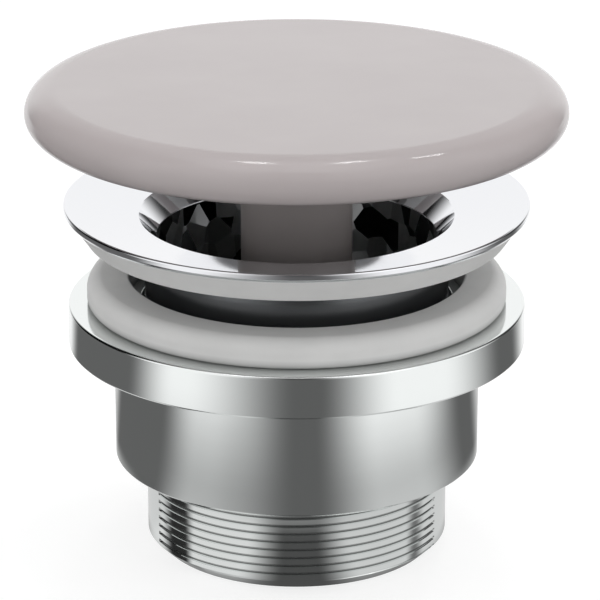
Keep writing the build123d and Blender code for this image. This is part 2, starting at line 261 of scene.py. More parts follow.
@dataclass(frozen=True)
class LathedMetal(Finish):
    """Metal from the lathe: fine circular lines and a little unevenness of polish.

    The lines are drawn wider apart than the tool's, so that they show.
    """

    roughness: float = 0.287
    patch_mm: float = 2.0
    unevenness: float = 0.22
    lines_mm: float = 1.257
    lines_depth_mm: float = 0.003
    sway: float = 1.0

    def dress(self, tree: Tree, shader: Node, place: Socket) -> None:
        """Lines round the axis, and polish that varies from patch to patch."""
        shader.inputs["Metallic"].default_value = 1.0
        uneven_gloss(tree, shader, place, self.patch_mm, self.roughness, self.unevenness)
        bands = {"wave_type": "BANDS", "bands_direction": "Z", "Distortion": self.sway}
        scale = math.tau / (WAVE_RADIANS * self.lines_mm * MM)
        lines = add(tree, "ShaderNodeTexWave", {"Vector": place}, Scale=scale, **bands)
        relief(tree, shader, lines.outputs["Fac"], self.lines_depth_mm)


@dataclass(frozen=True)
class ChromePlate(LathedMetal):
    """Chrome on turned brass: near-mirror, with a breath of the lines below it."""

    roughness: float = 0.12
    patch_mm: float = 9.0
    unevenness: float = 0.15
    lines_mm: float = 2.2
    lines_depth_mm: float = 0.0004
    sway: float = 1.5


@dataclass(frozen=True)
class FacetedChrome(Finish):
    """Chrome uneven in small facets, each with its own lean and a tone from dark to bright: painted
    reflection patches.
    """

    shade: str = "#2A2B2C"
    roughness: float = 0.3
    facet_mm: float = 3.3
    tilt: float = 0.9

    def dress(self, tree: Tree, shader: Node, place: Socket) -> None:
        """Leans each facet its own way and paints it a tone, so that the bore shows grey patches of painted
        reflection.
        """
        shader.inputs["Metallic"].default_value = 1.0
        shader.inputs["Roughness"].default_value = self.roughness
        facets = add(tree, "ShaderNodeTexVoronoi", {"Vector": place}, Scale=1 / (self.facet_mm * MM))
        own = facets.outputs["Color"]
        parts = add(tree, "ShaderNodeSeparateXYZ", {"Vector": own})
        # Painted reflection: each facet's own tone from dark to bright.
        reflection_tone = blended(tree, parts.outputs["X"], self.shade, self.colour)
        tree.links.new(reflection_tone, shader.inputs["Base Color"])
        lean = add(tree, "ShaderNodeVectorMath", {0: own, 1: (0.5, 0.5, 0.5)}, operation="SUBTRACT")
        lean = add(tree, "ShaderNodeVectorMath", {0: lean.outputs[0]}, operation="SCALE", Scale=self.tilt)
        upright = add(tree, "ShaderNodeNewGeometry").outputs["Normal"]
        leant = add(tree, "ShaderNodeVectorMath", {0: upright, 1: lean.outputs[0]}, operation="ADD")
        normal = add(tree, "ShaderNodeVectorMath", {0: leant.outputs[0]}, operation="NORMALIZE")
        tree.links.new(normal.outputs[0], shader.inputs["Normal"])


@dataclass(frozen=True)
class GlazedCeramic(Finish):
    """Fired sanitary ware under a clear glossy glaze that pools very slightly."""

    shade: str = "#B9B1B1"
    cloud_mm: float = 14.0
    cloud_detail: float = 3.0
    body_roughness: float = 0.5
    patch_mm: float = 5.0
    unevenness: float = 0.1
    glaze: float = 0.4
    glaze_roughness: float = 0.08
    glaze_ior: float = 1.52
    grazing_from: float = 0.6
    grazing_to: float = 0.74
    ripple_mm: float = 2.5
    ripple_depth_mm: float = 0.003

    def dress(self, tree: Tree, shader: Node, place: Socket) -> None:
        """Slight clouds in the colour, a long low ripple, and a glaze that gleams at its edges."""
        scale = 1 / (self.cloud_mm * MM)
        cloud = add(tree, "ShaderNodeTexNoise", {"Vector": place}, Scale=scale, Detail=self.cloud_detail)
        colour = blended(tree, cloud.outputs["Fac"], self.shade, self.colour)
        tree.links.new(colour, shader.inputs["Base Color"])
        uneven_gloss(tree, shader, place, self.patch_mm, self.body_roughness, self.unevenness)
        shader.inputs["Specular IOR Level"].default_value = 0.0
        facing = add(tree, "ShaderNodeLayerWeight", Blend=0.5).outputs["Facing"]
        limits = {"From_Min": self.grazing_from, "From_Max": self.grazing_to, "To_Min": self.glaze}
        edge = add(tree, "ShaderNodeMapRange", {"Value": facing}, interpolation_type="SMOOTHSTEP", **limits)
        tree.links.new(edge.outputs["Result"], shader.inputs["Coat Weight"])
        shader.inputs["Coat Roughness"].default_value = self.glaze_roughness
        shader.inputs["Coat IOR"].default_value = self.glaze_ior
        scale = 1 / (self.ripple_mm * MM)
        ripple = add(tree, "ShaderNodeTexNoise", {"Vector": place}, Scale=scale, Detail=1.0)
        relief(tree, shader, ripple.outputs["Fac"], self.ripple_depth_mm)


@dataclass(frozen=True)
class MouldedRubber(Finish):
    """Rubber from a steel mould: matt, with fine tooth and a soft sheen at the edge."""

    shade: str = "#DFDFDE"
    cloud_mm: float = 6.0
    cloud_detail: float = 4.0
    roughness: float = 0.55
    tooth_mm: float = 0.18
    tooth_depth_mm: float = 0.004
    # Painted shade: the colour darkens towards the foot, over a given height above it.
    foot_mm: float | None = None
    shade_height_mm: float = 1.3
    foot_shade: float = 0.5

    def dress(self, tree: Tree, shader: Node, place: Socket) -> None:
        """Bloomy clouds in the colour, painted shade darkening it up from the foot if it has one, and fine
        tooth.
        """
        scale = 1 / (self.cloud_mm * MM)
        cloud = add(tree, "ShaderNodeTexNoise", {"Vector": place}, Scale=scale, Detail=self.cloud_detail)
        colour = blended(tree, cloud.outputs["Fac"], self.shade, self.colour)
        # Painted shade: darker towards the foot.
        if self.foot_mm is not None:
            height = add(tree, "ShaderNodeSeparateXYZ", {"Vector": place}).outputs["Z"]
            limits = {"From_Min": self.foot_mm * MM, "From_Max": (self.foot_mm + self.shade_height_mm) * MM}
            unshaded = add(tree, "ShaderNodeMapRange", {"Value": height}, To_Min=self.foot_shade, **limits)
            foot_shaded = {"Color": colour, "Value": unshaded.outputs["Result"]}
            colour = add(tree, "ShaderNodeHueSaturation", foot_shaded).outputs["Color"]
        tree.links.new(colour, shader.inputs["Base Color"])
        shader.inputs["IOR"].default_value = POLYMER_IOR
        shader.inputs["Roughness"].default_value = self.roughness
        tooth = add(tree, "ShaderNodeTexNoise", {"Vector": place}, Scale=1 / (self.tooth_mm * MM))
        relief(tree, shader, tooth.outputs["Fac"], self.tooth_depth_mm)


@dataclass(frozen=True)
class MouldedPlastic(Finish):
    """Injection-moulded plastic: even colour, satin skin."""

    roughness: float = 0.4
    patch_mm: float = 8.0
    unevenness: float = 0.1
    grain_mm: float = 0.25
    grain_depth_mm: float = 0.003

    def dress(self, tree: Tree, shader: Node, place: Socket) -> None:
        """Fine spark-eroded grain of the mould, and gloss that varies with the flow."""
        shader.inputs["IOR"].default_value = POLYMER_IOR
        uneven_gloss(tree, shader, place, self.patch_mm, self.roughness, self.unevenness)
        grain = add(tree, "ShaderNodeTexNoise", {"Vector": place}, Scale=1 / (self.grain_mm * MM))
        relief(tree, shader, grain.outputs["Fac"], self.grain_depth_mm)


@dataclass(frozen=True)
class ClosedFoam(Finish):
    """Closed-cell foam bed: black, pitted by its cells."""

    roughness: float = 0.85
    cell_mm: float = 0.4
    cell_depth_mm: float = 0.08

    def dress(self, tree: Tree, shader: Node, place: Socket) -> None:
        """Small round cells that the eye sees as pits."""
        shader.inputs["Roughness"].default_value = self.roughness
        cells = add(tree, "ShaderNodeTexVoronoi", {"Vector": place}, Scale=1 / (self.cell_mm * MM))
        relief(tree, shader, cells.outputs["Distance"], self.cell_depth_mm)


# Chrome plate: a near-white mirror, cool on the flange and neutral on the body.
POLISHED_CHROME = ChromePlate("polished_chrome_plate", "#F0F1F4", roughness=0.05)
SATIN_CHROME = ChromePlate("satin_chrome_plate", "#F0F3F2", roughness=0.09)
# The roots of the thread get a darker, rougher chrome: the darker colour is painted shade in the grooves,
# the roughness a duller plate.
SHADED_ROOT_CHROME = ChromePlate("thread_root_chrome_painted_shade", "#B2B4B3", roughness=0.22)
# On the tube the chrome is darker and rougher, so that it looks dark and blurred.
DARK_TUBE_CHROME = ChromePlate("dark_tube_chrome_plate", "#737577", roughness=0.24)
# In the bore the chrome is uneven in small facets, with painted reflection patches from dark to bright.
BORE_CHROME = FacetedChrome("bore_chrome_painted_reflections", "#EDEFF0")
# Taupe glaze: pale warm grey, a little pink, with sharp highlights.
TAUPE_GLAZE = GlazedCeramic("taupe_glazed_ceramic", "#BDB5B5")
# The body under the glaze, bare and dull where the cap is bedded.
BARE_CERAMIC = MouldedPlastic("unglazed_ceramic", "#C6C0BA", roughness=0.8, grain_depth_mm=0.01)
# Sleeve in the glaze's hue, duller because it isn't glazed, and darker by painted shade from the cap above
# it.
SHADED_SLEEVE_ABS = MouldedPlastic("shaded_taupe_abs_plastic", "#8C8685", roughness=0.35)
# Pale grey rubber, quite matt.
GREY_EPDM = MouldedRubber("grey_epdm_rubber", "#E5E5E4")
# The same rubber with painted shade: darker towards its foot, where it sits on the collar.
COLLAR_TOP = extent("lower_gasket").bottom
FOOT_SHADED_EPDM = MouldedRubber("foot_shaded_epdm_rubber", "#E3E3E2", shade="#DDDDDC", foot_mm=COLLAR_TOP)
# Inner pieces: black rings, warm brass, grey steel and pale or grey plastics.
BLACK_NBR = MouldedRubber("black_nitrile_rubber", "#1B1B1B", shade="#161616")
TURNED_BRASS = LathedMetal("turned_brass", "#C9A45C")
STAINLESS = LathedMetal("stainless_steel", "#A9A9AB", roughness=0.2255)
NYLON = MouldedPlastic("natural_nylon", "#DAD8CE", roughness=0.45)
GREY_POM = MouldedPlastic("grey_acetal_plastic", "#7A7877")
BLACK_FOAM = ClosedFoam("black_closed_cell_foam", "#202020")


@dataclass
class Turner:
    """Turns outlines about Z into meshes."""

    steps: int = 256
    fillet_segments: int = 5

    def outline(self, mesh: Mesh, corners: list[Corner]) -> list[bmesh.types.BMEdge]:
        """Draws a closed outline in the XZ plane and rounds its corners.

        Args:
            mesh: Empty bmesh that takes the outline.
            corners: Corners in order.

        Returns:
            The edges to spin, without any that lies on the axis.
        """
        points = [mesh.verts.new((corner.r, 0, corner.z)) for corner in corners]
        face = mesh.faces.new(points)
        count = len(corners)
        jobs = []
        for index, corner in enumerate(corners):
            if not corner.fillet:
                continue
            here = points[index].co
            before = points[index - 1].co - here
            after = points[(index + 1) % count].co - here
            half = before.angle(after) / 2
            jobs.append((points[index], corner.fillet / math.tan(half)))
        for point, offset in jobs:
            bmesh.ops.bevel(
                mesh,
                geom=[point],
                offset=offset,
                offset_type="OFFSET",
                affect="VERTICES",
                segments=self.fillet_segments,
                profile=0.5,
                material=-1,
            )
        bmesh.ops.delete(mesh, geom=list(mesh.faces), context="FACES_ONLY")
        on_axis = [e for e in mesh.edges if all(abs(v.co.x) < MERGE_DISTANCE for v in e.verts)]
        bmesh.ops.delete(mesh, geom=on_axis, context="EDGES")
        return list(mesh.edges)

    def spin(self, mesh: Mesh, steps: int | None = None) -> None:
        """Spins all that the mesh holds one full turn about Z.

        Args:
            mesh: Bmesh with the outline's edges.
            steps: Steps of the turn, or None for the turner's own.
        """
        bmesh.ops.spin(
            mesh,
            geom=list(mesh.verts) + list(mesh.edges),
            cent=(0, 0, 0),
            axis=(0, 0, 1),
            dvec=(0, 0, 0),
            angle=math.tau,
            space=Matrix.Identity(4),
            steps=steps or self.steps,
            use_merge=True,
            use_normal_flip=False,
            use_duplicate=False,
        )
        bmesh.ops.remove_doubles(mesh, verts=list(mesh.verts), dist=MERGE_DISTANCE)

    def turned(self, corners: list[Corner], steps: int | None = None) -> Mesh:
        """Turns an outline into a closed solid.

        Args:
            corners: Corners of the outline in order.
            steps: Steps of the turn, or None for the turner's own.

        Returns:
            A new bmesh in millimetres.
        """
        mesh = bmesh.new()
        self.outline(mesh, corners)
        self.spin(mesh, steps)
        return mesh


def placed(name: str, data: bpy.types.ID) -> Piece:
    """Makes an object of its data and puts it in the scene.

    Args:
        name: Name of the object.
        data: Its mesh, light or camera.

    Returns:
        The object, at the origin.
    """
    made = bpy.data.objects.new(name, data)
    bpy.context.scene.collection.objects.link(made)
    return made


def shown(name: str, mesh: Mesh, *materials: Material) -> Piece:
    """Makes the object of a bmesh in metres.

    Args:
        name: Name of the object.
        mesh: Its bmesh, freed here.
        *materials: Materials of its slots.

    Returns:
        The object, at the origin.
    """
    data = bpy.data.meshes.new(name)
    mesh.to_mesh(data)
    mesh.free()
    for material in materials:
        data.materials.append(material)
    return placed(name, data)


def finished(name: str, mesh: Mesh, *finishes: Finish) -> Piece:
    """Makes the object of a finished bmesh: outward faces, smooth with crisp edges.

    Args:
        name: Name of the piece.
        mesh: Its bmesh in millimetres, freed here.
        *finishes: Finishes of its material slots.

    Returns:
        The object, at the origin.
    """
    bmesh.ops.scale(mesh, vec=(MM, MM, MM), verts=list(mesh.verts))
    bmesh.ops.recalc_face_normals(mesh, faces=list(mesh.faces))
    for face in mesh.faces:
        face.smooth = True
    for edge in mesh.edges:
        edge.smooth = len(edge.link_faces) != 2 or edge.calc_face_angle() < SHARP_ANGLE
    return shown(name, mesh, *(finish.material() for finish in finishes))


def unite(piece: Piece, other: Piece) -> None:
    """Unites a piece with another one, which is used up.

    Args:
        piece: The piece that stays.
        other: The piece that becomes part of it.
    """
    union = piece.modifiers.new("union", "BOOLEAN")
    union.operation = "UNION"
    union.object = other
    union.solver = "EXACT"
    graph = bpy.context.evaluated_depsgraph_get()
    piece.data = bpy.data.meshes.new_from_object(piece.evaluated_get(graph))
    piece.modifiers.clear()
    bpy.data.objects.remove(other)


def mount(piece: Piece, body: Body, slot: str, *nodes: str) -> None:
    """Puts a piece in the place of its nodes, on their body, and evens its shading.

    Args:
        piece: The piece.
        body: Group that it moves with.
        slot: Material slot of the record; not used.
        *nodes: Nodes that it stands for.
    """
    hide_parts(*nodes)
    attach(piece, body.value)
    weighted = piece.modifiers.new("even_normals", "WEIGHTED_NORMAL")
    weighted.keep_sharp = True
    weighted.weight = LARGE_FACE_WEIGHT
    log.info("%s on %s: %d faces", piece.name, body.value, len(piece.data.polygons))


@dataclass(frozen=True)
class Tip:
    """Crest radius and entering chamfer of the tail, in millimetres."""

    crest_r: float = 20.955
    chamfer: float = 1.8
    height: float = 1.7

    def cone(self, level: float) -> float:
        """Radius of the chamfer's cone at a level."""
        return self.crest_r - self.chamfer * (1 - min(1.0, level / self.height))


@dataclass
class Thread:
    """Fine right-hand thread with two smooth lands at its sides.

    One pitch is drawn with this many samples, of which some lie flat on the crest and in
    the root. Below the given share of the depth the root takes a darker chrome, painted shade.
    """

    pitch: float = 1.17
    depth: float = 0.32
    land_x: float = 19.1
    samples: int = 12
    crest: int = 7
    root: int = 1
    shaded_root_share: float = 0.4

    def spacing(self) -> float:
        """Height between two rings of the wall."""
        return self.pitch / self.samples

    def levels(self, height: float) -> list[float]:
        """Levels of the wall's rings before they follow the helix.

        Args:
            height: Height of the wall.

        Returns:
            Levels that reach more than half a pitch beyond both ends.
        """
        beyond = self.samples // 2 + 1
        count = math.ceil(height / self.spacing()) + 2 * beyond
        return [(index - beyond) * self.spacing() for index in range(count + 1)]

    def sunk(self, x: float, level: float, turn: float) -> float:
        """How far the surface lies below the crests.

        Args:
            x: Position across the lands.
            level: Height of the point.
            turn: Azimuth as a share of a full turn.

        Returns:
            Depth in millimetres.
        """
        if abs(x) > self.land_x:
            return 0.0
        place = (level / self.pitch - turn) * self.samples % self.samples
        flank = (self.samples - self.crest - self.root) / 2
        beyond_root = abs(place - (self.samples + self.root) / 2) - self.root / 2
        return self.depth * min(1.0, max(0.0, 1 - beyond_root / flank))

    def cut(self, mesh: Mesh, wall: Tip, height: float) -> None:
        """Shears the rings of the tail's wall to the helix and sinks the grooves.

        Args:
            mesh: Spun bmesh in millimetres.
            wall: Crest radius and chamfer of the wall.
            height: Height of the wall; rings beyond its ends are laid on them.
        """
        for vert in mesh.verts:
            x, y, z = vert.co
            radius = math.hypot(x, y)
            if abs(radius - wall.crest_r) > RADIUS_TOLERANCE or z > height + self.pitch:
                continue
            turn = math.atan2(y, x) / math.tau
            level = min(height, max(0.0, z + self.pitch * turn))
            kept = min(radius - self.sunk(x, level, turn), wall.cone(level))
            vert.co = Vector((x * kept / radius, y * kept / radius, level))
        bmesh.ops.remove_doubles(mesh, verts=list(mesh.verts), dist=MERGE_DISTANCE)


@dataclass
class LowerBody:
    """Collar, cup and threaded tail, turned as one piece and chromed."""

    turner: Turner
    cup_r: float = 25.3
    tail_bore_r: float = 17.955
    tail_length: float = 12.9
    floor: float = 2.0
    cup_height: float = 16.45
    bore_r: float = 21.03
    bore_lead: float = 0.6
    edge: float = 0.3
    top_edge: float = 0.4
    bore_round: float = 0.2
    lead_round: float = 0.1
    under_round: float = 0.15
    break_round: float = 0.06
    wall_slack: float = 0.05
    steps: int = 360
    tip: Tip = field(default_factory=Tip)
    thread: Thread = field(default_factory=Thread)

    def corners(self, reach: Extent) -> list[Corner]:
        """Outline of the piece.

        Args:
            reach: Extent of the node.

        Returns:
            Its corners in order.
        """
        under_collar = self.tail_length + self.cup_height
        shoulder = self.tail_length + self.floor
        return [
            Corner(self.tail_bore_r, 0, self.bore_round),
            Corner(self.tip.crest_r, 0),
            Corner(self.tip.crest_r, self.tail_length),
            Corner(self.cup_r - self.edge, self.tail_length, self.break_round),
            Corner(self.cup_r, self.tail_length + self.edge, self.break_round),
            Corner(self.cup_r, under_collar, self.under_round),
            Corner(reach.radius - self.edge, under_collar, self.break_round),
            Corner(reach.radius, under_collar + self.edge, self.break_round),
            Corner(reach.radius, reach.top, self.top_edge),
            Corner(self.bore_r + self.bore_lead, reach.top, self.lead_round),
            Corner(self.bore_r, reach.top - self.bore_lead, self.lead_round),
            Corner(self.bore_r, shoulder),
            Corner(self.tail_bore_r, shoulder, self.bore_round),
        ]

    def in_root(self, middle: Vector) -> bool:
        """Tells whether a face lies in the thread's groove.

        Args:
            middle: Middle of the face.

        Returns:
            True in the lower part of the groove.
        """
        radius = math.hypot(middle.x, middle.y)
        on_wall = abs(radius - self.tip.crest_r) < self.thread.depth + self.wall_slack
        if not on_wall or not self.tip.height < middle.z < self.tail_length - LEVEL_TOLERANCE:
            return False
        turn = math.atan2(middle.y, middle.x) / math.tau
        return self.thread.sunk(middle.x, middle.z, turn) > self.thread.depth * self.thread.shaded_root_share

    def on_crest(self, vert: Vert) -> bool:
        """Tells whether a vertex of the outline lies on the tail's wall."""
        return abs(vert.co.x - self.tip.crest_r) < MERGE_DISTANCE

    def build(self) -> None:
        """Turns the body, cuts the thread and dresses it."""
        reach = extent("lower_body")
        mesh = bmesh.new()
        self.turner.outline(mesh, self.corners(reach))
        levels = self.thread.levels(self.tail_length)
        wall = [edge for edge in mesh.edges if all(map(self.on_crest, edge.verts))]
        bmesh.ops.subdivide_edges(mesh, edges=wall, cuts=len(levels) - 2)
        rings = sorted(filter(self.on_crest, mesh.verts), key=lambda vert: vert.co.z)
        for vert, level in zip(rings, levels):
            vert.co.z = level
        self.turner.spin(mesh, self.steps)
        self.thread.cut(mesh, self.tip, self.tail_length)
        for face in mesh.faces:
            # Painted shade: faces low in the thread's groove take the darker chrome.
            face.material_index = int(self.in_root(face.calc_center_median()))
        piece = finished("lower_body_chromed", mesh, SATIN_CHROME, SHADED_ROOT_CHROME)
        mount(piece, Body.TAIL, "chrome", "lower_body")


@dataclass
class ClampGasket:
    """Thick moulded rubber ring on the collar."""

    turner: Turner
    bore_r: float = 23.2
    round_top: float = 2.1
    round_foot: float = 0.8
    round_bore: float = 0.4
    round_inner_foot: float = 0.15
    fillet_segments: int = 10

    def build(self) -> None:
        """Turns the ring and dresses it."""
        reach = extent("lower_gasket")
        corners = [
            Corner(self.bore_r, reach.bottom, self.round_inner_foot),
            Corner(reach.radius, reach.bottom, self.round_foot),
            Corner(reach.radius, reach.top, self.round_top),
            Corner(self.bore_r, reach.top, self.round_bore),
        ]
        mesh = Turner(self.turner.steps, self.fillet_segments).turned(corners)
        piece = finished("clamp_gasket_rubber", mesh, FOOT_SHADED_EPDM)
        mount(piece, Body.GASKET, "grey_rubber", "lower_gasket")


class FlangeSlot(IntEnum):
    """Material slots of the flange."""

    OUTSIDE = 0
    TUBE = 1
    BORE = 2


# In the order of the slots.
FLANGE_FINISHES = {
    FlangeSlot.OUTSIDE: POLISHED_CHROME,
    FlangeSlot.TUBE: DARK_TUBE_CHROME,
    FlangeSlot.BORE: BORE_CHROME,
}


@dataclass
class Flange:
    """Rim, dish, mouth, throat, tube and spider in one chromed piece, with its seal.

    Radii, heights and roundings are given; levels and slopes follow from the node's extent.
    """

    turner: Turner
    tube_r: float = 20.98
    tube_bore_r: float = 19.2
    throat_run: float = 2.5
    throat_height: float = 2.9
    throat_wall: float = 1.5
    dish_drop: float = 2.0
    plate: float = 1.2
    rim_round: float = 0.3
    rim_bevel: float = 0.42
    lip_round: float = 0.25
    flare_round: float = 0.4
    edge_round: float = 0.08
    tube_lead: float = 0.7
    lead_round: float = 0.1
    foot_round: float = 0.15
    legs: int = 4
    leg_width: float = 3.2
    leg_step: float = 0.3
    leg_round: float = 0.4
    boss_r: float = 9.2
    boss_rise: float = 0.5
    boss_height: float = 4.5
    boss_round: float = 0.4
    hole_r: float = 6.05
    hole_round: float = 0.2
    spider_steps: int = 96
    spider_segments: int = 3
    seal_inset: float = 0.75
    seal_taper: float = 2.3
    seal_round: float = 0.4
    seal_lip: float = 0.1
    reach: Extent = field(init=False)
    mouth_r: float = field(init=False)
    mouth: float = field(init=False)
    throat: float = field(init=False)
    slope: float = field(init=False)
    flare_low: Corner = field(init=False)
    flare_high: Corner = field(init=False)

    def __post_init__(self) -> None:
        """Works out the levels and slopes from the node's extent."""
        self.reach = extent("flange_body")
        self.mouth_r = self.tube_bore_r + self.throat_run
        self.mouth = self.reach.top - self.dish_drop
        self.throat = self.mouth - self.throat_height
        self.slope = self.dish_drop / (self.reach.radius - self.mouth_r)
        steepness = self.throat_height / self.throat_run
        length = math.hypot(self.throat_run, self.throat_height)
        start_r = self.tube_bore_r + self.throat_wall * self.throat_height / length
        start_z = self.throat - self.throat_wall * self.throat_run / length
        low_z = start_z + (self.tube_r - start_r) * steepness
        axis_z = low_z - self.tube_r * steepness
        high_r = (self.underside(0) - axis_z) / (steepness - self.slope)
        self.flare_low = Corner(self.tube_r, low_z, self.flare_round)
        self.flare_high = Corner(high_r, self.underside(high_r), self.flare_round)

    def underside(self, radius: float) -> float:
        """Level of the flange's underside at a radius."""
        return self.mouth + self.slope * (radius - self.mouth_r) - self.plate

    def shell(self) -> Mesh:
        """Turns rim, dish, throat and tube.

        Returns:
            A new bmesh in millimetres.
        """
        rim = self.reach.radius
        foot = self.reach.bottom
        under = rim - self.rim_bevel
        return self.turner.turned(
            [
                Corner(self.tube_bore_r, foot, self.foot_round),
                Corner(self.tube_r - self.tube_lead, foot, self.lead_round),
                Corner(self.tube_r, foot + self.tube_lead, self.lead_round),
                self.flare_low,
                self.flare_high,
                Corner(under, self.underside(under), self.edge_round),
                Corner(rim, self.underside(rim) + self.rim_bevel, self.edge_round),
                Corner(rim, self.reach.top, self.rim_round),
                Corner(self.mouth_r, self.mouth, self.lip_round),
                Corner(self.tube_bore_r, self.throat, self.lip_round),
            ]
        )

    def build(self) -> None:
        """Builds the flange with its spider, and the conical seal."""
        shell = self.shell()
        bore_r = self.tube_bore_r + self.lip_round
        for face in shell.faces:
            middle = face.calc_center_median()
            radius = math.hypot(middle.x, middle.y)
            if radius < bore_r and middle.z < self.throat - self.lip_round:
                face.material_index = FlangeSlot.BORE
            elif radius > bore_r and middle.z < self.flare_low.z:
                face.material_index = FlangeSlot.TUBE
        chrome = finished("flange_chromed", shell, *FLANGE_FINISHES.values())
        spider = self.spider()
        for face in spider.data.polygons:
            face.material_index = FlangeSlot.BORE
        unite(chrome, spider)
        mount(chrome, Body.FLANGE, "chrome", "flange_body")
        self.seal()

    def spider(self) -> Piece:
        """Casts the boss and the legs that stand in the tube's lower end.

        Returns:
            Boss and legs as one object.
        """
        bottom = self.reach.bottom + self.boss_rise
        top = bottom + self.boss_height
        mesh = Turner(self.spider_steps, self.spider_segments).turned(
            [
                Corner(self.hole_r, bottom, self.hole_round),
                Corner(self.boss_r, bottom, self.boss_round),
                Corner(self.boss_r, top, self.boss_round),
                Corner(self.hole_r, top, self.hole_round),
            ]
        )
        boss = finished("spider_boss", mesh, *FLANGE_FINISHES.values())
        inner = (self.hole_r + self.boss_r) / 2
        outer = (self.tube_bore_r + self.tube_r) / 2
        height = self.boss_height - self.leg_step
        for index in range(self.legs):
            bar = bmesh.new()
            bmesh.ops.create_cube(bar, size=1)
            bmesh.ops.scale(bar, vec=(outer - inner, self.leg_width, height), verts=bar.verts)
            bmesh.ops.bevel(
                bar,
                geom=list(bar.edges),
                offset=self.leg_round,
                affect="EDGES",
                segments=self.spider_segments,
                profile=0.5,
                material=-1,
            )
            middle = Vector(((inner + outer) / 2, 0, bottom + height / 2))
            bmesh.ops.translate(bar, vec=middle, verts=bar.verts)
            angle = math.radians(180 / self.legs + index * 360 / self.legs)
            turn = Matrix.Rotation(angle, 3, "Z")
            bmesh.ops.rotate(bar, cent=(0, 0, 0), matrix=turn, verts=bar.verts)
            unite(boss, finished(f"spider_leg_{index}", bar, *FLANGE_FINISHES.values()))
        return boss

    def seal(self) -> None:
        """Turns the conical rubber seal, fitted to the flange's underside."""
        bottom = extent("upper_seal").bottom
        top_r = self.reach.radius - self.seal_inset
        run = self.flare_high.r - self.flare_low.r
        rise = self.flare_high.z - self.flare_low.z
        inner = self.flare_low.r + max(0.0, bottom - self.flare_low.z) * run / rise
        mesh = self.turner.turned(
            [
                Corner(inner, bottom, self.seal_lip),
                Corner(top_r - self.seal_taper, bottom, self.seal_round),
                Corner(top_r, self.underside(top_r), self.seal_lip),
                Corner(self.flare_high.r, self.flare_high.z),
            ]
        )
        piece = finished("flange_seal_rubber", mesh, GREY_EPDM)
        mount(piece, Body.FLANGE, "grey_rubber", "upper_seal")


@dataclass
class Cap:
    """Glazed cover, recessed below for its carrier and seal, and the sleeve below them."""

    turner: Turner
    widest: float = 3.0
    upper_round: float = 4.5
    lower_round: float = 4.0
    recess_r: float = 22.8
    recess_depth: float = 2.4
    sleeve_wall: float = 0.97
    sleeve_round: float = 0.3
    sleeve_bore_round: float = 0.15
    arc_steps: int = 16

    def cover(self) -> None:
        """Turns the ceramic: flat top, elliptical side, recess below."""
        reach = extent("cap")
        level = reach.bottom + self.widest
        recess_top = reach.bottom + self.recess_depth
        upper_r = reach.radius - self.upper_round
        lower_r = reach.radius - self.lower_round
        mesh = bmesh.new()
        upper = self.quarter(mesh, upper_r, level, self.upper_round, reach.top - level)
        lower = self.quarter(mesh, lower_r, level, self.lower_round, -self.widest)
        self.chain(mesh, [upper[-1], mesh.verts.new((0, 0, reach.top))])
        bare = [(self.recess_r, reach.bottom), (self.recess_r, recess_top), (0, recess_top)]
        self.chain(mesh, [lower[-1]] + [mesh.verts.new((r, 0, z)) for r, z in bare])
        bmesh.ops.remove_doubles(mesh, verts=[upper[0], lower[0]], dist=MERGE_DISTANCE)
        self.turner.spin(mesh)
        for face in mesh.faces:
            middle = face.calc_center_median()
            inside = math.hypot(middle.x, middle.y) < self.recess_r + MERGE_DISTANCE
            face.material_index = int(inside and middle.z < recess_top + MERGE_DISTANCE)
        piece = finished("cap_glazed", mesh, TAUPE_GLAZE, BARE_CERAMIC)
        mount(piece, Body.PLUG, "glazed_ceramic", "cap")

    def chain(self, mesh: Mesh, verts: list[Vert]) -> None:
        """Joins vertices by edges in their order.

        Args:
            mesh: Bmesh that holds them.
            verts: The vertices.
        """
        for start, end in zip(verts, verts[1:]):
            mesh.edges.new((start, end))

    def quarter(
        self, mesh: Mesh, centre_r: float, level: float, run: float, rise: float
    ) -> list[Vert]:
        """Adds a quarter of an ellipse to an outline, from its widest point to its crown.

        Args:
            mesh: Bmesh that takes it.
            centre_r: Radius of its centre.
            level: Level of its centre.
            run: Half-width.
            rise: Half-height, negative for a lower quarter.

        Returns:
            Its vertices in order.
        """
        angles = [math.pi / 2 * index / self.arc_steps for index in range(self.arc_steps + 1)]
        verts = [
            mesh.verts.new((centre_r + run * math.cos(angle), 0, level + rise * math.sin(angle)))
            for angle in angles
        ]
        self.chain(mesh, verts)
        return verts

    def build(self) -> None:
        """Builds the cover and the sleeve below it."""
        self.cover()
        self.sleeve()

    def sleeve(self) -> None:
        """Turns the sleeve that hides the mechanism."""
        reach = extent("stem_sleeve")
        bore = reach.radius - self.sleeve_wall
        mesh = self.turner.turned(
            [
                Corner(bore, reach.bottom, self.sleeve_bore_round),
                Corner(reach.radius, reach.bottom, self.sleeve_round),
                Corner(reach.radius, reach.top),
                Corner(bore, reach.top),
            ]
        )
        # Painted shade: the sleeve's colour is darkened for the cap's shadow over it.
        piece = finished("stem_sleeve_moulded", mesh, SHADED_SLEEVE_ABS)
        mount(piece, Body.PLUG, "sleeve_plastic", "stem_sleeve")


